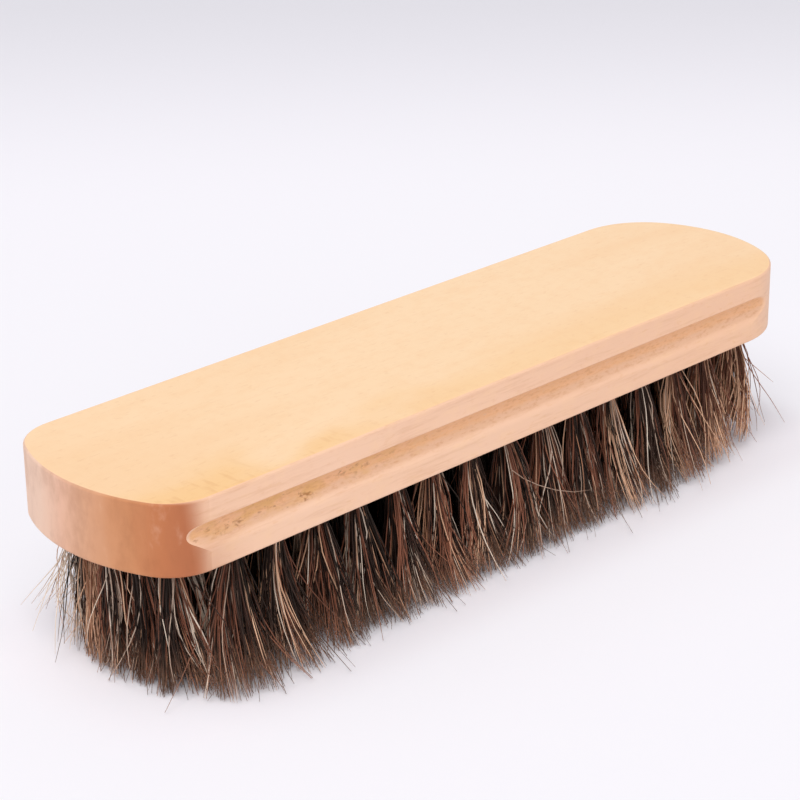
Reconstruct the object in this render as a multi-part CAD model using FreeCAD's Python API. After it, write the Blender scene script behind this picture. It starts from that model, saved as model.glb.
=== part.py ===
import FreeCAD, Part
import math
import os

# A wooden shoe shine brush: hair tufts folded over wire staples in the blind holes of a grooved block.
# Sizes are in millimetres. The origin is under the middle of the block, on the plane of the trimmed hair tips.
# +X runs along the block, +Z is up.

# Wooden block
block_length = 170.0
block_width = 43.1
block_thickness = 13.3
near_end_radius = 37.2   # gentle curve across the end at -X
near_corner_radius = 9.6 # where that end meets a long side
far_end_radius = 27.2    # rounder curve across the end at +X
far_corner_radius = 16.3 # where that end meets a long side
edge_round = 0.5         # sanded edge around the top and around the underside

# Finger groove along each long side
groove_height = 4.0      # across the mouth, before the lower lip is rounded
groove_depth = 1.0
groove_rise = 0.4        # from half way up the block to the middle of the groove
lip_round = 4.0          # soft lower lip, the upper one is crisp

# Hair tufts
trim_length = 25.0       # hair that shows below the block
hole_diameter = 4.0
hole_clearance = 0.15    # around a tuft and between its fold and the end of its hole
side_margin = 5.5        # from a long side to the axes of the tufts beside it
end_margin = 8.5         # from the tip of an end to the axis of the tuft nearest to it
side_setback = 5.8       # from the start of the end tufts' curve back to the last tuft of a row along a side
side_tufts = 14          # in each straight row along a side and in the row along the middle
end_tufts = 5            # around each end, between the rows along the sides
side_fan = 2.5           # lean of the outer tufts towards the long sides, at the tips
end_fan = 2.0            # lean of the end tufts away from the middle, at the tips
tip_gap = 0.4            # between neighbouring tufts at the trimmed face

# Wire staples
wire_diameter = 0.7
bend_radius = 0.8        # at the axis of the wire
fold_depth = 1.4         # from the end of a hole to the axis of the staple's crown
leg_bite = 2.5           # length of each leg in the wood past the end of its hole
leg_cover = 0.3          # hair outside each leg
staple_clearance = 0.1   # around the wire
wood_over_legs = 2.6     # wood left between the ends of the legs and the top of the block

cut_overrun = 1.0        # how far every cut runs past the face that it starts from

# Levels and spacings that follow from those sizes
underside_z = trim_length
hole_depth = block_thickness - wood_over_legs - leg_bite
hole_end_z = underside_z + hole_depth
tuft_radius = hole_diameter / 2 - hole_clearance
fold_z = hole_end_z - hole_clearance
crown_z = hole_end_z - fold_depth
leg_end_z = hole_end_z + leg_bite
room_diameter = wire_diameter + 2 * staple_clearance
leg_offset = tuft_radius - leg_cover - room_diameter / 2

near_end = (near_end_radius, near_corner_radius)
far_end = (far_end_radius, far_corner_radius)
outer_x = block_length / 2 - end_margin
outer_y = block_width / 2 - side_margin
tip_stretch_x = 1 + end_fan / outer_x
tip_stretch_y = 1 + side_fan / outer_y

up = FreeCAD.Vector(0, 0, 1)
along = FreeCAD.Vector(1, 0, 0)
origin = FreeCAD.Vector(0, 0, 0)


def arc(centre_x, centre_y, radius, start, finish):
    # An arc in the level plane through the origin, between two angles in radians
    points = []
    for angle in (start, (start + finish) / 2, finish):
        x = centre_x + radius * math.cos(angle)
        y = centre_y + radius * math.sin(angle)
        points.append(FreeCAD.Vector(x, y, 0))
    return Part.Arc(*points).toShape()


def end_curve(end_radius, corner_radius, inset):
    # Around an end at +X, from one straight side to the other, inside the outline of the block by the inset.
    # It is one gentle arc, blended into the sides by two corner arcs.
    blend = corner_radius - inset
    sweep = end_radius - inset
    end_centre = block_length / 2 - end_radius
    corner_y = block_width / 2 - corner_radius
    corner_x = end_centre + math.sqrt((sweep - blend) ** 2 - corner_y ** 2)
    meet = math.atan2(corner_y, corner_x - end_centre)
    quarter = math.pi / 2
    return Part.Wire([
        arc(corner_x, -corner_y, blend, -quarter, -meet),
        arc(end_centre, 0, sweep, -meet, meet),
        arc(corner_x, corner_y, blend, meet, quarter),
    ])


def block_body():
    # The outline is the curve of the far end, that of the near end turned to face -X, and the two sides between them
    ends = [end_curve(*far_end, 0), end_curve(*near_end, 0)]
    ends[1].rotate(origin, up, 180)
    outline = []
    for this_end, next_end in (ends, reversed(ends)):
        outline.append(this_end)
        outline.append(Part.makeLine(this_end.OrderedVertexes[-1].Point, next_end.OrderedVertexes[0].Point))
    body = Part.Face(Part.Wire(outline)).extrude(FreeCAD.Vector(0, 0, block_thickness))
    body.translate(FreeCAD.Vector(0, 0, underside_z))
    return body


def groove_cutter(side):
    # A long bar with the section of the groove: a round hollow that runs out through the soft lower lip
    radius = ((groove_height / 2) ** 2 + groove_depth ** 2) / (2 * groove_depth)
    length = block_length + 2 * cut_overrun
    side_y = block_width / 2
    hollow = FreeCAD.Vector(-length / 2, side_y - groove_depth + radius,
                            underside_z + block_thickness / 2 + groove_rise)
    drop = math.sqrt(groove_depth * (2 * (radius + lip_round) - groove_depth))
    lip = FreeCAD.Vector(hollow.x, side_y - lip_round, hollow.z - drop)
    to_hollow = (hollow - lip).normalize()
    to_side = FreeCAD.Vector(0, 1, 0)

    upper_lip = FreeCAD.Vector(hollow.x, side_y, hollow.z + groove_height / 2)
    deepest = hollow - to_side * radius
    meet = lip + to_hollow * lip_round
    lip_middle = lip + (to_hollow + to_side).normalize() * lip_round
    lip_end = lip + to_side * lip_round
    lower_corner = lip_end + to_side * cut_overrun
    upper_corner = upper_lip + to_side * cut_overrun
    section = Part.Wire([
        Part.Arc(upper_lip, deepest, meet).toShape(),
        Part.Arc(meet, lip_middle, lip_end).toShape(),
        Part.makeLine(lip_end, lower_corner),
        Part.makeLine(lower_corner, upper_corner),
        Part.makeLine(upper_corner, upper_lip),
    ])
    bar = Part.Face(section).extrude(along * length)
    if side < 0:
        bar.rotate(origin, up, 180)
    return bar


def end_places(end):
    # Evenly spaced along the curve of the tufts around an end at +X, with a place on each side to start and finish
    curve = end_curve(*end, side_margin)
    curve.translate(along * (side_margin - end_margin))
    return curve.discretize(Number=end_tufts + 2)


def tuft_places():
    # Axis of every tuft at the underside, grouped by its place along the block in half steps of the side rows
    crosswise = {}
    near_curve = end_places(near_end)
    far_curve = end_places(far_end)
    first_x = side_setback - near_curve[0].x
    last_x = far_curve[0].x - side_setback
    last_step = 2 * (side_tufts - 1)
    half_step = (last_x - first_x) / last_step
    for row in (-2, -1, 0, 1, 2):
        # the rows beside the outer ones are staggered, with one tuft more
        shift = row % 2
        for steps in range(-shift, last_step + shift + 1, 2):
            crosswise.setdefault(steps, []).append((first_x + steps * half_step, row * outer_y / 2))
    for number in range(1, end_tufts + 1):
        # counted from the sides in to the tip of the end
        steps = 2 * min(number, end_tufts + 1 - number)
        near, far = near_curve[number], far_curve[number]
        crosswise.setdefault(-steps, []).append((-near.x, near.y))
        crosswise.setdefault(last_step + steps, []).append((far.x, far.y))
    return [crosswise[key] for key in sorted(crosswise)]


def tip_centre(place):
    return (place[0] * tip_stretch_x, place[1] * tip_stretch_y)


def tip_radius(place, places):
    # Each tuft spreads half way to the nearest of its neighbours
    tip = tip_centre(place)
    nearest = min(math.dist(tip, tip_centre(other)) for other in places if other != place)
    return (nearest - tip_gap) / 2


def circle(x, y, z, radius):
    return Part.Wire(Part.makeCircle(radius, FreeCAD.Vector(x, y, z), up))


def bent_wire(diameter, end_z):
    # One staple on the Z axis: two legs up, a crown across, and a round bend at each end of the crown
    bend_start_z = crown_z + bend_radius
    crown_end = leg_offset - bend_radius
    mid_bend = bend_radius * math.sqrt(0.5)

    def leg(side):
        tip = FreeCAD.Vector(side * leg_offset, 0, end_z)
        return Part.makeLine(tip, FreeCAD.Vector(side * leg_offset, 0, bend_start_z))

    def bend(side):
        outer = FreeCAD.Vector(side * leg_offset, 0, bend_start_z)
        middle = FreeCAD.Vector(side * (crown_end + mid_bend), 0, bend_start_z - mid_bend)
        inner = FreeCAD.Vector(side * crown_end, 0, crown_z)
        return Part.Arc(outer, middle, inner).toShape()

    crown = Part.makeLine(FreeCAD.Vector(-crown_end, 0, crown_z), FreeCAD.Vector(crown_end, 0, crown_z))
    path = Part.Wire([leg(-1), bend(-1), crown, bend(1), leg(1)])
    section = circle(-leg_offset, 0, end_z, diameter / 2)
    return path.makePipeShell([section], True, False)


def tuft_socket():
    # The blind hole of one tuft, with the two pockets that its staple's legs make
    socket = Part.makeCylinder(hole_diameter / 2, hole_depth + cut_overrun,
                               FreeCAD.Vector(0, 0, underside_z - cut_overrun), up)
    pocket_length = leg_bite + staple_clearance + cut_overrun
    pockets = []
    for side in (-1, 1):
        start = FreeCAD.Vector(side * leg_offset, 0, hole_end_z - cut_overrun)
        pockets.append(Part.makeCylinder(room_diameter / 2, pocket_length, start, up))
    return socket.fuse(pockets)


def moved(shape, place):
    copy = shape.copy()
    copy.translate(FreeCAD.Vector(place[0], place[1], 0))
    return copy


def make_block(places, socket):
    body = block_body()
    rims = [edge for edge in body.Edges if abs(edge.tangentAt(edge.FirstParameter).z) < 0.5]
    body = body.makeFillet(edge_round, rims)
    body = body.cut([groove_cutter(-1), groove_cutter(1)])
    return body.cut([moved(socket, place) for place in places])


def make_tuft(place, places, staple_room):
    # Straight inside its hole, then flaring and leaning outwards down to the trimmed tips
    x, y = place
    tip_x, tip_y = tip_centre(place)
    fold = circle(x, y, fold_z, tuft_radius)
    mouth = circle(x, y, underside_z, tuft_radius)
    tips = circle(tip_x, tip_y, 0, tip_radius(place, places))
    bundle = Part.makeLoft([fold, mouth, tips], True, True)
    return bundle.cut(moved(staple_room, place))


def save(node, shape):
    shape.exportStep("parts/" + node + ".step")
    print(node, len(shape.Solids), "solids", round(shape.Volume, 1), "mm3", "valid", shape.isValid())


os.makedirs("parts", exist_ok=True)
crosswise_rows = tuft_places()
all_places = [place for row in crosswise_rows for place in row]
print("tufts", len(all_places), "in", len(crosswise_rows), "crosswise rows")

save("block", make_block(all_places, tuft_socket()))

room = bent_wire(room_diameter, leg_end_z + staple_clearance)
for number, row in enumerate(crosswise_rows, start=1):
    save("tuft_row_%02d" % number, Part.Compound([make_tuft(place, all_places, room) for place in row]))

staple = bent_wire(wire_diameter, leg_end_z)
save("staples", Part.Compound([moved(staple, place) for place in all_places]))
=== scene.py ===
import math
import random

import bmesh
import bpy
import numpy as np
from mathutils import Matrix, Vector


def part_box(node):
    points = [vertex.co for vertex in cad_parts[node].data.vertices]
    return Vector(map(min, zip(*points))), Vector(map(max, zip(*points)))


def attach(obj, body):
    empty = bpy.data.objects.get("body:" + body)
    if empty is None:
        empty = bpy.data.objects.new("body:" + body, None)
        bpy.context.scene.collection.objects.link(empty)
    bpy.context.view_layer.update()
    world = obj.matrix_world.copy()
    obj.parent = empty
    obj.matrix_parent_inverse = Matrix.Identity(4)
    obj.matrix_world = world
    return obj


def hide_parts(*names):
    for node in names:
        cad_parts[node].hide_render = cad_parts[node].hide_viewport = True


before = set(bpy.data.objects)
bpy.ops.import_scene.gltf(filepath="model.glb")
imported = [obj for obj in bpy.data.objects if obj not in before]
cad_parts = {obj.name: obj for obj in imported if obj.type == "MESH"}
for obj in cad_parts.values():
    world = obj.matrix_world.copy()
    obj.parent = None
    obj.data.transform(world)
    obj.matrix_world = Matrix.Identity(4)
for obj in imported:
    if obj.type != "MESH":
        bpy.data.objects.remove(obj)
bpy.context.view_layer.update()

scene = bpy.context.scene
mm = 0.001
print("frame loaded,", len(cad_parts), "nodes")


# node helpers for the materials

def newMaterial(name):
    material = bpy.data.materials.new(name)
    material.use_nodes = True
    tree = material.node_tree
    return material, tree, tree.nodes["Principled BSDF"]


def addNode(tree, kind, **settings):
    node = tree.nodes.new(kind)
    for key, value in settings.items():
        setattr(node, key, value)
    return node


def feed(tree, socket, value):
    # a socket from another node is linked, a plain value is typed in
    if isinstance(value, bpy.types.NodeSocket):
        tree.links.new(value, socket)
    else:
        socket.default_value = value


def maths(tree, operation, first, second=0.0):
    node = addNode(tree, "ShaderNodeMath", operation=operation)
    feed(tree, node.inputs[0], first)
    feed(tree, node.inputs[1], second)
    return node.outputs[0]


def product(tree, *factors):
    result = factors[0]
    for factor in factors[1:]:
        result = maths(tree, "MULTIPLY", result, factor)
    return result


def smoothRange(tree, value, low, high, toLow=0.0, toHigh=1.0):
    node = addNode(tree, "ShaderNodeMapRange", interpolation_type="SMOOTHSTEP")
    feed(tree, node.inputs["Value"], value)
    for name, number in (("From Min", low), ("From Max", high), ("To Min", toLow), ("To Max", toHigh)):
        feed(tree, node.inputs[name], number)
    return node.outputs["Result"]


def stretchedNoise(tree, coords, scale, detail, roughness, offset=(0, 0, 0)):
    # scale is in features per metre along x, y and z
    mapping = addNode(tree, "ShaderNodeMapping")
    feed(tree, mapping.inputs["Vector"], coords)
    mapping.inputs["Scale"].default_value = scale
    mapping.inputs["Location"].default_value = offset
    noise = addNode(tree, "ShaderNodeTexNoise")
    feed(tree, noise.inputs["Vector"], mapping.outputs["Vector"])
    noise.inputs["Scale"].default_value = 1.0
    noise.inputs["Detail"].default_value = detail
    noise.inputs["Roughness"].default_value = roughness
    return noise.outputs["Fac"]


def ramp(tree, value, stops):
    node = addNode(tree, "ShaderNodeValToRGB")
    elements = node.color_ramp.elements
    while len(elements) < len(stops):
        elements.new(0.5)
    for element, (place, colour) in zip(elements, stops):
        element.position = place
        element.color = (*colour, 1.0)
    feed(tree, node.inputs["Fac"], value)
    return node.outputs["Color"]


def mixColour(tree, factor, first, second, blend="MIX"):
    node = addNode(tree, "ShaderNodeMix", data_type="RGBA", blend_type=blend)
    feed(tree, node.inputs["Factor"], factor)
    for socket, colour in ((node.inputs["A"], first), (node.inputs["B"], second)):
        feed(tree, socket, colour if isinstance(colour, bpy.types.NodeSocket) else (*colour, 1.0))
    return node.outputs["Result"]


def splitAxes(tree, vector):
    node = addNode(tree, "ShaderNodeSeparateXYZ")
    feed(tree, node.inputs[0], vector)
    return [node.outputs[axis] for axis in "XYZ"]


def fromScreen(red, green, blue):
    # screen colour, 0 to 255, to the linear colour that a shader takes
    out = []
    for value in (red, green, blue):
        share = value / 255
        out.append(share / 12.92 if share <= 0.04045 else ((share + 0.055) / 1.055) ** 2.4)
    return tuple(out)


# beech block, the frame's own mesh with a wood finish

beech = {
    "honey": fromScreen(248, 214, 172),
    "deepHoney": fromScreen(244, 202, 154),
    "golden": fromScreen(241, 190, 118),
    "fleck": fromScreen(216, 154, 94),
    "side": fromScreen(238, 195, 167),
    "farSide": fromScreen(233, 186, 155),
    "sideGrain": fromScreen(208, 154, 118),
    # end grain across the near end, from the front corner to the back, in millimetres from the middle:
    # darker end grain, with painted shade deepening it towards the front corner and painted light and
    # reflection paling it towards the back
    "endTones": [(-20.5, fromScreen(175, 105, 68)), (-18.0, fromScreen(184, 114, 73)),
                 (-14.5, fromScreen(197, 134, 91)), (-10.0, fromScreen(203, 143, 102)),
                 (-3.0, fromScreen(216, 166, 133)), (2.0, fromScreen(227, 180, 152)),
                 (9.0, fromScreen(234, 199, 175))],
    "endPale": fromScreen(229, 188, 161),
    "endBlotch": fromScreen(150, 92, 58),
    # groove base, a little darker than the sides, partly painted shade against the light on its upturned
    # lower slope
    "groovePale": fromScreen(222, 178, 146),
    # painted shade: tan under the grooves' upper lip
    "grooveLipShade": fromScreen(232, 178, 134),
    "grooveGold": fromScreen(218, 167, 104),
    "grooveGrain": fromScreen(198, 140, 98),
    "speck": fromScreen(146, 92, 46),
    # noises over the wood: features per metre along x, y and z, detail, roughness and offset
    "noises": {
        "bands": ((7, 42, 42), 3.0, 0.55),
        "lines": ((26, 1100, 1100), 4.0, 0.6),
        "flecks": ((520, 1500, 1500), 2.0, 0.5, (3.1, 1.7, 0.4)),
        "mottles": ((240, 420, 420), 4.0, 0.65, (0.9, 0.4, 0.1)),
        "patches": ((30, 60, 60), 2.0, 0.5, (0.3, 0.9, 0.2)),
        "rays": ((640, 200, 200), 2.0, 0.5, (1.3, 0.2, 0.6)),
        "streaks": ((90, 700, 1300), 4.0, 0.65, (0.2, 0.6, 1.1)),
        "blotches": ((210, 210, 120), 4.0, 0.62),
        "clouds": ((90, 90, 50), 3.0, 0.55, (0.7, 0.1, 0.5)),
        "fibres": ((700, 2200, 2200), 3.0, 0.65),
        "goldPatches": ((150, 0, 380), 3.0, 0.6),
        "specks": ((480, 900, 900), 3.0, 0.65),
        "speckPatches": ((70, 0, 330), 2.0, 0.5),
    },
    # tones laid over the wood: noise, the values between which it sets in, greatest share and tone
    "layers": {
        "bands": ("bands", 0.35, 0.72, 1.0, "deepHoney"),
        "lines": ("lines", 0.5, 0.78, 0.3, "deepHoney"),
        "mottles": ("mottles", 0.42, 0.72, 0.4, "deepHoney"),
        "rays": ("rays", 0.52, 0.68, 1.0, "fleck"),
        "flecks": ("flecks", 0.58, 0.76, 0.17, "fleck"),
        "sideMottles": ("mottles", 0.45, 0.75, 0.25, "deepHoney"),
        "streaks": ("streaks", 0.46, 0.74, 0.42, "sideGrain"),
        "endBlotches": ("blotches", 0.42, 0.75, 0.3, "endBlotch"),
        "endPale": ("blotches", 0.44, 0.25, 0.3, "endPale"),
        "grooveLipShade": ("fibres", 0.1, 0.55, 1.0, "grooveLipShade"),
        "grooveGold": ("goldPatches", 0.4, 0.66, 1.0, "grooveGold"),
        "grooveGrain": ("fibres", 0.48, 0.68, 0.4, "grooveGrain"),
        "specks": ("specks", 0.54, 0.68, 1.0, "speck"),
    },
    # smooth changes have where they start and end, and the shares there if these are not 0 and 1
    "nearHalf": (20 * mm, -20 * mm),
    "underTop": (0.003 * mm, 0.08 * mm),  # depths
    # golden front of the top, across and along the block, and the ray flecks in it
    "frontAcross": (-4 * mm, -20 * mm),
    "frontAlong": (0.0, -45 * mm, 0.45, 1.0),
    "frontPatches": (0.36, 0.6),
    "frontShare": 0.65,
    "frontRays": (0.3, 1.0, 0.03, 0.24),
    # sides
    "sideAlong": (-50 * mm, 60 * mm),
    "sideShare": 0.85,
    # ends: how far their tones wander, and how far a face has turned where end grain sets in
    "wander": 9 * mm,
    "wanderTurned": (0.7, 0.95),
    "farBlotches": 0.6,
    "nearTurned": (0.0, 0.6),
    "farTurned": (0.75, 0.97),
    "cornerAlong": (60 * mm, 74 * mm),
    "cornerDown": (0.06, 0.24),  # shares at the top and at the underside
    "cornerWander": 8.0,
    # where each end's corner leaves the straight side, and its radius
    "nearCorner": (72.7 * mm, 9.6 * mm),
    "farCorner": (67.4 * mm, 16.3 * mm),
    # grooves: rise of their middle above the block's, their depth and lips, and where they run out
    "grooveRise": 0.4 * mm,
    "grooveDepth": (0.05 * mm, 0.5 * mm),
    "upperLip": (2.2 * mm, 2.0 * mm),
    "lowerLip": (-3.6 * mm, -3.2 * mm),
    "grooveNear": (77.0 * mm, 76.0 * mm),
    "grooveFar": (73.0 * mm, 72.0 * mm),
    # where the painted shade under the upper lip sets in, by rise
    "lipShadeRise": (-1.2 * mm, -0.2 * mm),
    "goldRise": (-2.6 * mm, -0.8 * mm),
    "goldAlong": (-10 * mm, -50 * mm, 0.12, 0.75),
    "speckSpan": (0.44, 0.6),
    "speckAlong": (-20 * mm, -50 * mm, 0.08, 0.7),
    # surface: lacquered, and duller in the grooves and at the near end
    "roughness": 0.55,
    "grooveRoughness": 0.75,
    "coat": 0.12,
    "dullCoat": 0.0,
    "coatRoughness": 0.3,
    "specular": 0.4,
    "dullSpecular": 0.25,
    "lineRelief": 0.3,
    "bumpStrength": 0.25,
    "bumpDistance": 0.15 * mm,
}


def cornerDrop(tree, along, corner):
    # how far the outline has come in from the straight side
    start, radius = corner
    past = maths(tree, "MAXIMUM", maths(tree, "SUBTRACT", along, start), 0.0)
    chord = maths(tree, "SQRT", maths(tree, "SUBTRACT", radius * radius, product(tree, past, past)))
    return maths(tree, "SUBTRACT", radius, chord)


def readBlock(tree):
    # values that change over the block: place, facing, parts of it and noises
    low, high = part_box("block")
    source = addNode(tree, "ShaderNodeTexCoord")
    x, y, z = splitAxes(tree, source.outputs["Object"])
    facing = splitAxes(tree, source.outputs["Normal"])
    here = {"x": x, "y": y, "z": z}
    for name, settings in beech["noises"].items():
        here[name] = stretchedNoise(tree, source.outputs["Object"], *settings)
    here["backward"] = product(tree, x, -1.0)
    here["turned"] = maths(tree, "ABSOLUTE", facing[0])
    here["nearHalf"] = beechRange(tree, x, "nearHalf")
    here["underTop"] = smoothRange(tree, z, *(high.z - depth for depth in beech["underTop"]))
    here["wander"] = product(tree, maths(tree, "SUBTRACT", here["clouds"], 0.5), beech["wander"])
    here["rise"] = maths(tree, "SUBTRACT", z, (low.z + high.z) / 2 + beech["grooveRise"])
    return here


def beechRange(tree, value, name):
    return smoothRange(tree, value, *beech[name])


def layOver(tree, here, wood, name, *shares):
    noise, low, high, share, tone = beech["layers"][name]
    amount = smoothRange(tree, here[noise], low, high, 0.0, share)
    return mixColour(tree, product(tree, amount, *shares), wood, beech[tone])


def paintTop(tree, here):
    # broad bands, fine lines along the block and mottles
    wood = beech["honey"]
    for name in ("bands", "lines", "mottles"):
        wood = layOver(tree, here, wood, name)
    # the front of the top is more golden, with ray flecks across the grain
    front = product(tree, beechRange(tree, here["y"], "frontAcross"),
                    beechRange(tree, here["patches"], "frontPatches"),
                    beechRange(tree, here["x"], "frontAlong"))
    wood = mixColour(tree, product(tree, front, beech["frontShare"]), wood, beech["golden"])
    return layOver(tree, here, wood, "rays", beechRange(tree, front, "frontRays"))


def paintSides(tree, here):
    wood = mixColour(tree, beechRange(tree, here["x"], "sideAlong"), beech["side"], beech["farSide"])
    wood = layOver(tree, here, wood, "sideMottles")
    return layOver(tree, here, wood, "streaks")


def paintEnds(tree, here):
    # blotchy end grain: at the near end painted shade darkens it towards the front corner and painted light
    # pales it towards the back, and it is pale at the far end
    sway = product(tree, here["wander"], beechRange(tree, here["turned"], "wanderTurned"))
    across = maths(tree, "ADD", here["y"], sway)
    first = beech["endTones"][0][0] * mm
    width = beech["endTones"][-1][0] * mm - first
    share = maths(tree, "DIVIDE", maths(tree, "SUBTRACT", across, first), width)
    nearWood = ramp(tree, share, [((y * mm - first) / width, tone) for y, tone in beech["endTones"]])
    wood = mixColour(tree, here["nearHalf"], beech["endPale"], nearWood)
    alongShare = smoothRange(tree, here["nearHalf"], 0.0, 1.0, beech["farBlotches"], 1.0)
    wood = layOver(tree, here, wood, "endBlotches", alongShare)
    return layOver(tree, here, wood, "endPale")


def paintGrooves(tree, here):
    # cut but not sanded, with golden patches and specks, and tan painted shade under the upper lip
    # painted shade under the upper lip
    lipShadeShare = beechRange(tree, here["rise"], "lipShadeRise")
    wood = layOver(tree, here, beech["groovePale"], "grooveLipShade", lipShadeShare)
    goldShares = (beechRange(tree, here["rise"], "goldRise"),
                  beechRange(tree, here["x"], "goldAlong"))
    wood = layOver(tree, here, wood, "grooveGold", *goldShares)
    wood = layOver(tree, here, wood, "grooveGrain")
    speckShares = (beechRange(tree, here["speckPatches"], "speckSpan"),
                   beechRange(tree, here["x"], "speckAlong"))
    return layOver(tree, here, wood, "specks", *speckShares)


def findEnds(tree, here):
    # shares of end grain at the near and the far end
    low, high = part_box("block")
    close = product(tree, beechRange(tree, here["backward"], "cornerAlong"),
                    smoothRange(tree, here["z"], high.z, low.z, *beech["cornerDown"]))
    turned = maths(tree, "ADD", maths(tree, "ADD", here["turned"], close),
                   product(tree, here["wander"], beech["cornerWander"]))
    near = product(tree, beechRange(tree, turned, "nearTurned"), here["nearHalf"])
    farHalf = maths(tree, "SUBTRACT", 1.0, here["nearHalf"])
    far = product(tree, beechRange(tree, here["turned"], "farTurned"), farHalf)
    return near, far


def findGrooves(tree, here):
    # 1 where the surface lies inside the outline of the block, between the lips
    drop = maths(tree, "ADD", cornerDrop(tree, here["backward"], beech["nearCorner"]),
                 cornerDrop(tree, here["x"], beech["farCorner"]))
    outline = maths(tree, "SUBTRACT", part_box("block")[1].y, drop)
    inFromSide = maths(tree, "SUBTRACT", outline, maths(tree, "ABSOLUTE", here["y"]))
    spans = ((inFromSide, "grooveDepth"), (here["rise"], "upperLip"), (here["rise"], "lowerLip"),
             (here["backward"], "grooveNear"), (here["x"], "grooveFar"))
    return product(tree, *(beechRange(tree, value, name) for value, name in spans))


def makeBeech():
    material, tree, shader = newMaterial("beechLacquered")
    here = readBlock(tree)
    near, far = findEnds(tree, here)
    groove = findGrooves(tree, here)
    sideShare = product(tree, here["underTop"], beech["sideShare"])
    wood = mixColour(tree, sideShare, paintTop(tree, here), paintSides(tree, here))
    wood = layOver(tree, here, wood, "flecks")
    endShare = product(tree, maths(tree, "ADD", near, far), here["underTop"])
    wood = mixColour(tree, endShare, wood, paintEnds(tree, here))
    wood = mixColour(tree, groove, wood, paintGrooves(tree, here))
    feed(tree, shader.inputs["Base Color"], wood)
    # the lacquer
    dull = maths(tree, "MAXIMUM", groove, product(tree, near, here["underTop"]))
    for name, share, plain, changed in (("Roughness", groove, "roughness", "grooveRoughness"),
                                        ("Coat Weight", dull, "coat", "dullCoat"),
                                        ("Specular IOR Level", dull, "specular", "dullSpecular")):
        feed(tree, shader.inputs[name], smoothRange(tree, share, 0.0, 1.0, beech[plain], beech[changed]))
    shader.inputs["Coat Roughness"].default_value = beech["coatRoughness"]
    bump = addNode(tree, "ShaderNodeBump")
    bump.inputs["Strength"].default_value = beech["bumpStrength"]
    bump.inputs["Distance"].default_value = beech["bumpDistance"]
    relief = maths(tree, "ADD", product(tree, here["lines"], beech["lineRelief"]),
                   product(tree, here["fibres"], groove))
    feed(tree, bump.inputs["Height"], relief)
    feed(tree, shader.inputs["Normal"], bump.outputs["Normal"])
    return material


def finishNode(node, material):
    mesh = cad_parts[node].data
    mesh.materials.clear()
    mesh.materials.append(material)


finishNode("block", makeBeech())
print("block finished in beech")


# wire staples, drawn steel down inside the holes

wire = {
    "pale": fromScreen(190, 190, 188),
    "dark": fromScreen(150, 150, 150),
    "marks": ((2600, 2600, 300), 2.0, 0.5),
    "markSpan": (0.3, 0.7),
    "roughness": 0.32,
}


def makeWire():
    material, tree, shader = newMaterial("drawnSteelWire")
    coords = addNode(tree, "ShaderNodeTexCoord").outputs["Object"]
    marks = stretchedNoise(tree, coords, *wire["marks"])
    tone = mixColour(tree, smoothRange(tree, marks, *wire["markSpan"]), wire["pale"], wire["dark"])
    feed(tree, shader.inputs["Base Color"], tone)
    shader.inputs["Metallic"].default_value = 1.0
    shader.inputs["Roughness"].default_value = wire["roughness"]
    return material


finishNode("staples", makeWire())
print("staples finished in steel wire")


# horsehair tufts, every hair a tapered strand

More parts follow.
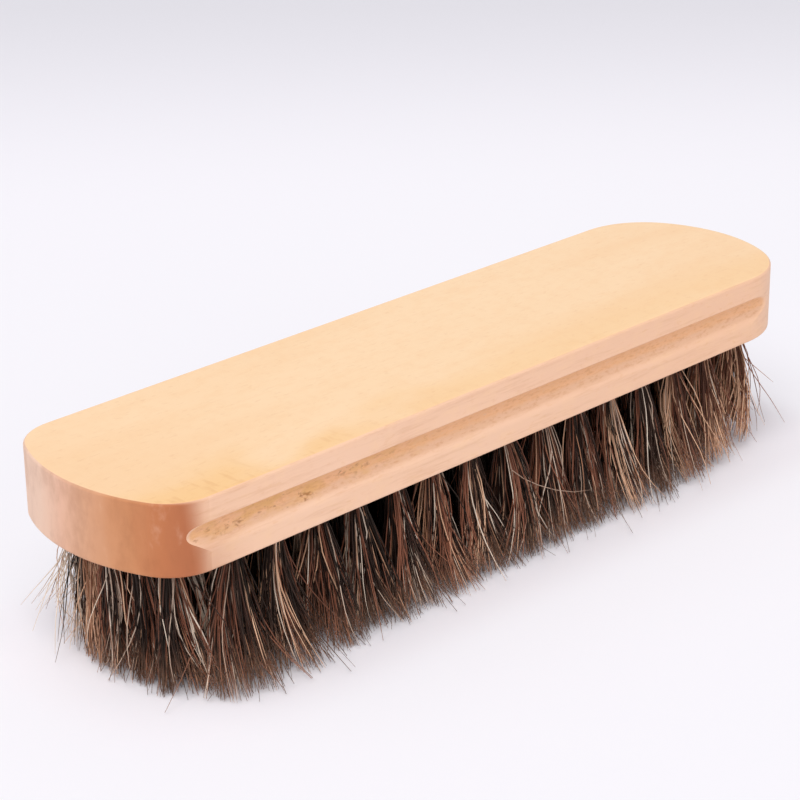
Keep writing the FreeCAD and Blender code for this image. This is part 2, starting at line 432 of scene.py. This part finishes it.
hair = {
    "seed": 41,
    "perTuft": 205,
    "thick": 0.255 * mm,
    "thickSpread": 0.3,
    # taper: where along the hair it starts, how it curves and the share of the thickness left at the tip
    "taperFrom": 0.45,
    "taperCurve": 1.5,
    "tipShare": 0.35,
    # a hair hangs in its hole from this far up, straight until just above the mouth
    "hangFrom": 6.9 * mm,
    "straightUntil": 0.3 * mm,
    "steps": 7,
    "holeFill": 0.72,
    # locks: how far hairs follow theirs, how it spreads and bends, and how much shorter it is
    "locks": 9,
    "lockPull": 0.55,
    "lockLikeness": 0.58,
    "lockTones": 3,
    "lockSpread": (0.9, 1.15),
    "lockScatter": 0.1,
    "lockCurl": (1.5, 2.2),
    "lockLift": 0.4 * mm,
    # single hairs: spread of the tips in tip radii, wild ones more, and bends
    "tipSpread": 1.5,
    "outwardShare": 0.62,
    "tipScatter": 0.2,
    "wildShare": 0.13,
    "wildScatter": 0.55,
    "bow": 0.9 * mm,
    "ownBow": 0.5,
    "wave": 0.22 * mm,
    "frizzShare": 0.2,
    "frizz": 3.0,
    "ownCurl": (-0.1, 0.15),
    # height of the tips above the floor, with some hairs shorter by millimetres
    "tipGap": 0.1 * mm,
    "tipUneven": 0.5 * mm,
    "shortShare": 0.1,
    "shortBy": (0.5, 4.0),
    # the hair gets shorter towards the far end, and is darker at the near end
    "farShorter": 1.2 * mm,
    "farFrom": 40.0 * mm,
    "farTo": 62.0 * mm,
    "nearUntil": -45.0 * mm,
    # a tuft that leans further than this is an outer one, with loose hairs
    "outerLean": 1.5 * mm,
    "strayTurn": 0.9,
    "strayOut": (0.2, 1.0),
    "strayLow": 0.3,  # millimetres, and so are the lifts below
    "strayBend": 2.0,
    "strayCurl": (1.1, 1.9),
    "strayThick": 0.9,
    # what a tuft has of its own: mixes, share of the hairs, spread, loose hairs, their reach and lift
    "usual": {"mix": "lock", "looseMix": "loose", "share": 1.0, "widen": 1.0, "strays": 5,
              "strayReach": 4.5 * mm, "strayLift": 6.5},
    "near": {"mix": "nearLock", "looseMix": "nearLoose"},
    # inner tufts get almost black hair: painted shade for the dark between the rows
    "inner": {"mix": "inner", "looseMix": "inner"},
    # tufts that differ from the rest, by their place in millimetres
    "oddTufts": [
        {"place": (-74.1, 12.2), "mix": "greyEnd", "share": 0.35, "widen": 0.9, "strays": 44,
         "strayReach": 7.0 * mm, "strayLift": 11.0},
        {"place": (-63.9, 16.1), "mix": "greySide", "share": 0.5, "widen": 0.8, "strays": 6},
        {"place": (-75.9, 6.2), "mix": "tanEnd", "share": 0.9, "widen": 0.9, "strays": 12,
         "strayReach": 5.0 * mm},
        {"place": (-74.1, -12.2), "mix": "darkCorner"},
        {"place": (-63.9, -16.1), "mix": "russetSide"},
        # the far tufts' hair is lighter and redder, partly painted light where the far end lies in the key
        # light's shadow
        {"place": (71.2, -13.6), "mix": "far", "strays": 16, "strayReach": 5.5 * mm, "strayLift": 13.0},
        {"place": (75.2, -7.3), "mix": "far", "strays": 16, "strayReach": 5.5 * mm, "strayLift": 13.0},
        {"place": (76.5, 0.0), "mix": "far", "strays": 12, "strayReach": 5.5 * mm, "strayLift": 13.0},
        {"place": (58.6, -16.1), "mix": "far", "strays": 8},
        {"place": (49.1, -16.1), "mix": "beforeFar", "strays": 8},
    ],
    # shares of the kinds of hair
    "mixes": {
        "lock": {"dark": 0.5, "russet": 0.26, "tan": 0.11, "grey": 0.13},
        "loose": {"dark": 0.49, "russet": 0.22, "tan": 0.13, "grey": 0.16},
        "nearLock": {"dark": 0.62, "russet": 0.27, "tan": 0.06, "grey": 0.05},
        "nearLoose": {"dark": 0.54, "russet": 0.22, "tan": 0.13, "grey": 0.11},
        # painted shade: the inner tufts' hair is mostly almost black
        "inner": {"black": 0.72, "dark": 0.22, "russet": 0.06},
        "greyEnd": {"dark": 0.05, "russet": 0.03, "tan": 0.07, "grey": 0.85},
        "greySide": {"dark": 0.2, "russet": 0.2, "tan": 0.2, "grey": 0.4},
        "tanEnd": {"dark": 0.2, "russet": 0.26, "tan": 0.44, "grey": 0.1},
        "darkCorner": {"dark": 0.56, "russet": 0.24, "tan": 0.06, "grey": 0.14},
        "russetSide": {"dark": 0.26, "russet": 0.5, "tan": 0.14, "grey": 0.1},
        # lighter and redder hair for the far tufts and those just before them, partly painted light
        "far": {"russet": 0.4, "tan": 0.48, "grey": 0.12},
        "beforeFar": {"dark": 0.25, "russet": 0.5, "tan": 0.18, "grey": 0.07},
    },
    # combing of the tips in millimetres: the same everywhere, then by place, reach and shift
    "drag": (2.0, -0.8),
    "combing": [
        ((-80.0, 0.0), 12.0, (0.5, 0.0)), ((-75.0, 10.0), 7.0, (0.3, -0.8)),
        ((-74.1, -12.2), 6.0, (1.6, 1.0)), ((-62.0, -16.0), 7.0, (-2.4, -2.4)),
        ((80.0, 0.0), 14.0, (-1.2, 0.0)), ((72.0, -12.0), 14.0, (-2.6, 2.4)),
    ],
    # hairs that have come out of line and lie across their neighbours, in millimetres
    "crossings": [
        [(0.5, -16.9, 31.0), (0.4, -17.1, 25.2), (-0.6, -20.4, 19.0), (2.0, -21.0, 16.6),
         (5.6, -21.2, 14.2), (10.2, -21.4, 11.7), (15.1, -21.6, 9.7), (20.4, -21.6, 8.4)],
    ],
    "crossingThick": 0.7,
    # the hair map: its strips, those of each kind of hair, and their tones
    "strips": 64,
    "kinds": {"black": (0, 7), "dark": (8, 22), "russet": (23, 40), "tan": (41, 51), "grey": (52, 63)},
    "tones": [
        (0.0, fromScreen(13, 9, 7)), (7.9, fromScreen(24, 16, 13)),
        (8.1, fromScreen(18, 11, 9)), (22.9, fromScreen(50, 30, 24)),
        (23.1, fromScreen(72, 44, 35)), (40.9, fromScreen(154, 98, 75)),
        (41.1, fromScreen(176, 124, 94)), (51.9, fromScreen(238, 194, 160)),
        (52.1, fromScreen(186, 158, 138)), (64.0, fromScreen(255, 238, 218)),
    ],
    # margin of the map at the root and the tip, and the height of a cap on it
    "mapMargin": 0.02,
    "capHeight": 0.01,
    # shading from root to tip
    "rootShade": [(0.22, (0.68, 0.66, 0.65)), (0.45, (0.84, 0.83, 0.82)), (0.95, (1, 1, 1))],
    # pale tips, partly painted light that stands in for the light reaching the lower hair
    "paleLitTip": fromScreen(204, 156, 126),
    "paleLitTipSpan": (0.66, 1.0, 0.0, 0.24),
    "roughness": 0.42,
    "specular": 0.3,
    "sheen": (1.0, 0.82, 0.68),
}


def makeHairMaterial():
    # the hair map's u is the hair's kind and tone and its v runs from root to tip
    material, tree, shader = newMaterial("horsehair")
    hairMap = addNode(tree, "ShaderNodeUVMap", uv_map="OFBake")
    across, along = splitAxes(tree, hairMap.outputs["UV"])[:2]
    tone = ramp(tree, across, [(strip / hair["strips"], colour) for strip, colour in hair["tones"]])
    # pale tips, partly painted light
    tone = mixColour(tree, smoothRange(tree, along, *hair["paleLitTipSpan"]), tone, hair["paleLitTip"])
    tone = mixColour(tree, 1.0, tone, ramp(tree, along, hair["rootShade"]), "MULTIPLY")
    feed(tree, shader.inputs["Base Color"], tone)
    shader.inputs["Roughness"].default_value = hair["roughness"]
    shader.inputs["Specular IOR Level"].default_value = hair["specular"]
    shader.inputs["Specular Tint"].default_value = (*hair["sheen"], 1.0)
    return material


def tuftsOfRow(node):
    # root centre, tip centre and tip radius of each tuft, read from the frame's own solids
    inHole = 1 * mm    # least height of a root's points above the mouth of its hole
    tipLevel = 0.1 * mm
    leastGap = 2 * mm  # between tufts
    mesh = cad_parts[node].data
    points = np.empty(len(mesh.vertices) * 3)
    mesh.vertices.foreach_get("co", points)
    points = points.reshape(-1, 3)
    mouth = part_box("block")[0].z
    roots = points[points[:, 2] > mouth + inHole]
    tips = points[points[:, 2] < tipLevel]
    levels = np.unique(roots[:, 1].round(6))
    breaks = np.flatnonzero(np.diff(levels) > leastGap)
    starts = [levels[0]] + [levels[i + 1] for i in breaks]
    ends = [levels[i] for i in breaks] + [levels[-1]]
    middles = np.array([(a + b) / 2 for a, b in zip(starts, ends)])
    owner = np.abs(tips[:, 1:2] - middles[None, :]).argmin(1)
    rootX = (roots[:, 0].min() + roots[:, 0].max()) / 2
    tufts = []
    for number, middle in enumerate(middles):
        own = tips[owner == number]
        low, high = own.min(0), own.max(0)
        tufts.append({
            "root": Vector((rootX, middle)),
            "rootRadius": (ends[number] - starts[number]) / 2,
            "tip": Vector(((low[0] + high[0]) / 2, (low[1] + high[1]) / 2)),
            "tipRadius": (high[0] - low[0]) / 2,
            "mouth": mouth,
        })
    return tufts


def inDisc(dice):
    angle = dice.uniform(0, 2 * math.pi)
    reach = math.sqrt(dice.random())
    return Vector((reach * math.cos(angle), reach * math.sin(angle)))


def scatter(dice, amount):
    return Vector((dice.gauss(0, amount), dice.gauss(0, amount)))


def pickStrip(dice, mix):
    shares = hair["mixes"][mix]
    kind = dice.choices(list(shares), weights=list(shares.values()))[0]
    return dice.randint(*hair["kinds"][kind])


def nearStrip(dice, strip):
    # another strip of the same kind, close to the first
    low, high = next(ends for ends in hair["kinds"].values() if ends[0] <= strip <= ends[1])
    return min(high, max(low, strip + dice.randint(-hair["lockTones"], hair["lockTones"])))


def standsAt(tuft, place):
    # whether a place in millimetres is that of the tuft
    return (tuft["root"] - Vector(place) * mm).length < tuft["rootRadius"]


def combedTip(tuft):
    tip = tuft["tip"] + Vector(hair["drag"]) * mm
    for place, reach, shift in hair["combing"]:
        away = (tuft["root"] / mm - Vector(place)).length / reach
        tip += Vector(shift) * mm * math.exp(-away * away)
    return tip


def ownSettings(tuft):
    # what the tuft's hairs share, worked out from its place
    own = dict(hair["usual"])
    if tuft["root"].x < hair["nearUntil"]:
        own.update(hair["near"])
    for odd in hair["oddTufts"]:
        if standsAt(tuft, odd["place"]):
            own.update(odd, looseMix=odd["mix"])
    outward = tuft["tip"] - tuft["root"]
    own["outer"] = outward.length > hair["outerLean"]
    if not own["outer"]:
        own.update(hair["inner"])
    outward.normalize()
    own["outward"] = outward
    farShare = (tuft["root"].x - hair["farFrom"]) / (hair["farTo"] - hair["farFrom"])
    own["lowest"] = hair["tipGap"] + hair["farShorter"] * min(1.0, max(0.0, farShare))
    own["tip"] = combedTip(tuft)
    own["reach"] = tuft["tipRadius"] * hair["tipSpread"] * own["widen"]
    return own


def hairPath(tuft, spot, end, tipZ, bow, wave, curl):
    # straight down the hole, then spreading to the tip, with a slight bow and wave
    start = tuft["root"] + spot * tuft["rootRadius"] * hair["holeFill"]
    mouth = tuft["mouth"]
    points = [Vector((*start, mouth + hair["hangFrom"])), Vector((*start, mouth + hair["straightUntil"]))]
    for step in range(1, hair["steps"] + 1):
        t = step / hair["steps"]
        across = start.lerp(end, t ** curl) + bow * math.sin(math.pi * t) + wave * math.sin(2 * math.pi * t)
        points.append(Vector((*across, mouth + (tipZ - mouth) * t)))
    return points


def makeLock(dice, own):
    spot = inDisc(dice)
    return {
        "root": spot,
        "tip": spot * dice.uniform(*hair["lockSpread"]) + scatter(dice, hair["lockScatter"]),
        "strip": pickStrip(dice, own["mix"]),
        "bow": scatter(dice, hair["bow"]),
        "curl": dice.uniform(*hair["lockCurl"]),
        "lift": abs(dice.gauss(0, hair["lockLift"])),
    }


def makeHair(dice, tuft, own, locks):
    spot = inDisc(dice)
    lock = min(locks, key=lambda one: (one["root"] - spot).length)
    loose = hair["wildScatter"] if dice.random() < hair["wildShare"] else hair["tipScatter"]
    spread = (spot.lerp(lock["tip"], hair["lockPull"]) + scatter(dice, loose)) * own["reach"]
    ahead = spread.dot(own["outward"])
    if own["outer"] and ahead > 0:
        spread -= own["outward"] * ahead * (1 - hair["outwardShare"])
    tipZ = own["lowest"] + lock["lift"] + abs(dice.gauss(0, hair["tipUneven"]))
    if dice.random() < hair["shortShare"]:
        tipZ += dice.uniform(*hair["shortBy"]) * mm
    bow = lock["bow"] + scatter(dice, hair["ownBow"] * hair["bow"])
    frizzy = hair["frizz"] if dice.random() < hair["frizzShare"] else 1.0
    wave = scatter(dice, hair["wave"] * frizzy)
    curl = lock["curl"] + dice.uniform(*hair["ownCurl"])
    points = hairPath(tuft, spot, own["tip"] + spread, tipZ, bow, wave, curl)
    alike = dice.random() < hair["lockLikeness"]
    strip = nearStrip(dice, lock["strip"]) if alike else pickStrip(dice, own["looseMix"])
    return points, hair["thick"] * (1 + dice.uniform(-1, 1) * hair["thickSpread"]), strip


def makeStray(dice, tuft, own):
    # a loose hair that splays out of an outer tuft
    spot = inDisc(dice)
    turn = own["outward"] + inDisc(dice) * hair["strayTurn"]
    away = turn * dice.uniform(*hair["strayOut"]) * own["strayReach"]
    end = own["tip"] + spot * tuft["tipRadius"] + away
    bow = scatter(dice, hair["strayBend"] * hair["bow"])
    wave = scatter(dice, hair["strayBend"] * hair["wave"])
    tipZ = dice.uniform(hair["strayLow"], own["strayLift"]) * mm
    points = hairPath(tuft, spot, end, tipZ, bow, wave, dice.uniform(*hair["strayCurl"]))
    return points, hair["thick"] * hair["strayThick"], pickStrip(dice, own["mix"])


def growTuft(tuft, dice):
    # list of hairs: points, thickness and strip of the hair map
    own = ownSettings(tuft)
    locks = [makeLock(dice, own) for number in range(hair["locks"])]
    hairs = [makeHair(dice, tuft, own, locks) for number in range(round(hair["perTuft"] * own["share"]))]
    if own["outer"]:
        hairs += [makeStray(dice, tuft, own) for number in range(own["strays"])]
    for path in hair["crossings"]:
        if standsAt(tuft, path[0][:2]):
            points = [Vector(spot) * mm for spot in path]
            hairs.append((points, hair["crossingThick"] * hair["thick"], hair["kinds"]["grey"][0]))
    return hairs


def drawHairs(name, hairs):
    # one bevelled curve for all of them, made a mesh
    curve = bpy.data.curves.new(name + "Curve", "CURVE")
    curve.dimensions = "3D"
    curve.bevel_depth = 1.0
    curve.bevel_resolution = 0
    curve.use_fill_caps = True
    for points, thickness, strip in hairs:
        spline = curve.splines.new("POLY")
        last = len(points) - 1
        spline.points.add(last)
        for number, (point, spot) in enumerate(zip(spline.points, points)):
            thinned = max(0.0, (number / last - hair["taperFrom"]) / (1 - hair["taperFrom"]))
            taper = 1 - (1 - hair["tipShare"]) * thinned ** hair["taperCurve"]
            point.co = (*spot, 1.0)
            point.radius = thickness / 2 * taper
    holder = bpy.data.objects.new(name + "Curve", curve)
    scene.collection.objects.link(holder)
    bpy.context.view_layer.update()
    mesh = bpy.data.meshes.new_from_object(holder.evaluated_get(bpy.context.evaluated_depsgraph_get()))
    bpy.data.objects.remove(holder)
    mesh.name = name
    return mesh


def stripSpots(strip, along, height):
    # the hair map's spots for the four corners of a hair, in its strip
    return [((strip + across) / hair["strips"], along + shift)
            for across, shift in ((0.2, 0.0), (0.5, -height), (0.8, 0.0), (0.5, height))]


def addHairMap(mesh, hairs):
    # Blender puts the end caps first, last hair first, and then the rings of each hair
    margin = hair["mapMargin"]
    spots = []
    for points, thickness, strip in reversed(hairs):
        for along in (1 - margin, margin):
            spots += stripSpots(strip, along, hair["capHeight"])
    for points, thickness, strip in hairs:
        last = len(points) - 1
        for ring in range(last + 1):
            spots += stripSpots(strip, margin + (1 - 2 * margin) * ring / last, 0.0)
    assert len(mesh.vertices) == len(spots), (len(mesh.vertices), len(spots))
    corner = np.empty(len(mesh.loops), dtype=np.int32)
    mesh.loops.foreach_get("vertex_index", corner)
    for layer in list(mesh.uv_layers):
        mesh.uv_layers.remove(layer)
    hairMap = mesh.uv_layers.new(name="OFBake")
    hairMap.data.foreach_set("uv", np.array(spots)[corner].ravel())


def combHair(name, hairs, material):
    mesh = drawHairs(name, hairs)
    addHairMap(mesh, hairs)
    # the caps are joined to their hairs
    work = bmesh.new()
    work.from_mesh(mesh)
    bmesh.ops.remove_doubles(work, verts=work.verts, dist=1e-7)
    work.to_mesh(mesh)
    work.free()
    mesh.shade_smooth()
    mesh.materials.clear()
    mesh.materials.append(material)
    piece = bpy.data.objects.new(name, mesh)
    scene.collection.objects.link(piece)
    return piece


hairMaterial = makeHairMaterial()
rowNodes = sorted(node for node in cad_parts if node.startswith("tuft_row_"))
triangles = 0
for rowNumber, rowNode in enumerate(rowNodes):
    dice = random.Random(hair["seed"] + rowNumber)
    rowHairs = []
    for tuft in tuftsOfRow(rowNode):
        rowHairs += growTuft(tuft, dice)
    piece = combHair(rowNode.replace("tuft", "hair"), rowHairs, hairMaterial)
    triangles += sum(len(face.vertices) - 2 for face in piece.data.polygons)
    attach(piece, "root")
    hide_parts(rowNode)
print(len(rowNodes), "rows of hair,", triangles, "triangles")


# floor, light and camera

stage = {
    "floorSize": 6.0,
    "floorColour": fromScreen(246, 244, 249),
    "floorRoughness": 0.8,
    "floorSpecular": 0.2,
    # painted shade: the floor is a little darker far behind the brush, in metres along this direction
    "farShade": fromScreen(228, 227, 232),
    "behind": (0.64, 0.77),
    "farAway": (0.2, 0.46),
    # how much of the wide shadow is lifted by painted light, and how far from the core of the brush that
    # sets in and fades
    "shadowLift": 0.55,
    "core": (75 * mm, 15 * mm),
    "liftFrom": (10 * mm, 24 * mm),
    "liftUntil": (300 * mm, 100 * mm),
    "world": 0.5,
    # softboxes: name, place, width, power
    "lamps": [("key", (-1.8, -1.2, 3.0), 2.8, 91.0), ("fill", (-0.9, 0.7, 1.3), 1.2, 3.2),
              ("front", (0.3, -2.6, 0.9), 1.6, 11.0)],
}
# camera: angles in degrees, then distance and slides in lengths of the brush
view = {
    "azimuth": -44.2304,
    "elevation": 22.9269,
    "roll": -0.6848,
    "distance": 2.67976,
    "slideRight": -0.03662,
    "slideUp": -0.06318,
    "length": 170 * mm,
    "lens": 111.1294,
    "nearest": 0.01,
}


def seenRay(tree):
    # 1 where the camera sees the surface, straight or in a reflection
    rays = addNode(tree, "ShaderNodeLightPath")
    seen = maths(tree, "MAXIMUM", rays.outputs["Is Camera Ray"], rays.outputs["Is Glossy Ray"])
    return maths(tree, "MAXIMUM", seen, rays.outputs["Is Transmission Ray"])


def makeFloorMaterial():
    material, tree, shader = newMaterial("paleFloor")
    place = splitAxes(tree, addNode(tree, "ShaderNodeTexCoord").outputs["Object"])
    behind = maths(tree, "ADD", *(product(tree, *pair) for pair in zip(place, stage["behind"])))
    # painted shade far behind the brush
    far = smoothRange(tree, behind, *stage["farAway"])
    tone = mixColour(tree, far, stage["floorColour"], stage["farShade"])
    # seen directly, the floor beside the brush glows with part of its own tone: painted light that lifts
    # the wide shadow, so that only the contact shadow is dark
    gaps = []
    for distance, reach in zip(place, stage["core"]):
        beyond = maths(tree, "SUBTRACT", maths(tree, "ABSOLUTE", distance), reach)
        beyond = maths(tree, "MAXIMUM", beyond, 0.0)
        gaps.append(product(tree, beyond, beyond))
    away = maths(tree, "SQRT", maths(tree, "ADD", *gaps))
    beside = product(tree, smoothRange(tree, away, *stage["liftFrom"]),
                     smoothRange(tree, away, *stage["liftUntil"]))
    lift = product(tree, seenRay(tree), beside, stage["shadowLift"])
    feed(tree, shader.inputs["Base Color"], mixColour(tree, lift, tone, (0.0, 0.0, 0.0)))
    feed(tree, shader.inputs["Emission Color"], tone)
    feed(tree, shader.inputs["Emission Strength"], lift)
    shader.inputs["Roughness"].default_value = stage["floorRoughness"]
    shader.inputs["Specular IOR Level"].default_value = stage["floorSpecular"]
    return material


def makeFloor():
    mesh = bpy.data.meshes.new("floor")
    work = bmesh.new()
    bmesh.ops.create_grid(work, x_segments=1, y_segments=1, size=stage["floorSize"] / 2)
    work.to_mesh(mesh)
    work.free()
    mesh.materials.append(makeFloorMaterial())
    floor = bpy.data.objects.new("floor", mesh)
    scene.collection.objects.link(floor)


def makeLight():
    world = bpy.data.worlds.new("softRoom")
    scene.world = world
    world.use_nodes = True
    tree = world.node_tree
    background = tree.nodes["Background"]
    background.inputs["Color"].default_value = (*stage["floorColour"], 1.0)
    strength = smoothRange(tree, seenRay(tree), 0.0, 1.0, stage["world"], 1.0)
    feed(tree, background.inputs["Strength"], strength)
    for name, place, width, power in stage["lamps"]:
        lamp = bpy.data.lights.new(name, "AREA")
        lamp.shape = "DISK"
        lamp.size = width
        lamp.energy = power
        softbox = bpy.data.objects.new(name, lamp)
        softbox.location = place
        softbox.rotation_euler = (-softbox.location).to_track_quat("-Z", "Y").to_euler()
        scene.collection.objects.link(softbox)


def makeCamera():
    azimuth, elevation, roll = (math.radians(view[name]) for name in ("azimuth", "elevation", "roll"))
    back = Vector((math.sin(azimuth) * math.cos(elevation), -math.cos(azimuth) * math.cos(elevation),
                   math.sin(elevation)))
    level = Vector((math.cos(azimuth), math.sin(azimuth), 0))
    upright = back.cross(level)
    right = level * math.cos(roll) + upright * math.sin(roll)
    above = upright * math.cos(roll) - level * math.sin(roll)
    aim = Vector((0, 0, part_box("block")[1].z))
    offset = back * view["distance"] + right * view["slideRight"] + above * view["slideUp"]
    eye = aim + offset * view["length"]
    data = bpy.data.cameras.new("camera")
    data.lens = view["lens"]
    data.clip_start = view["nearest"]
    camera = bpy.data.objects.new("camera", data)
    camera.matrix_world = Matrix.Translation(eye) @ Matrix((right, above, back)).transposed().to_4x4()
    scene.collection.objects.link(camera)
    scene.camera = camera


makeFloor()
makeLight()
makeCamera()
scene.view_settings.view_transform = "Standard"
print("floor, light and camera set")
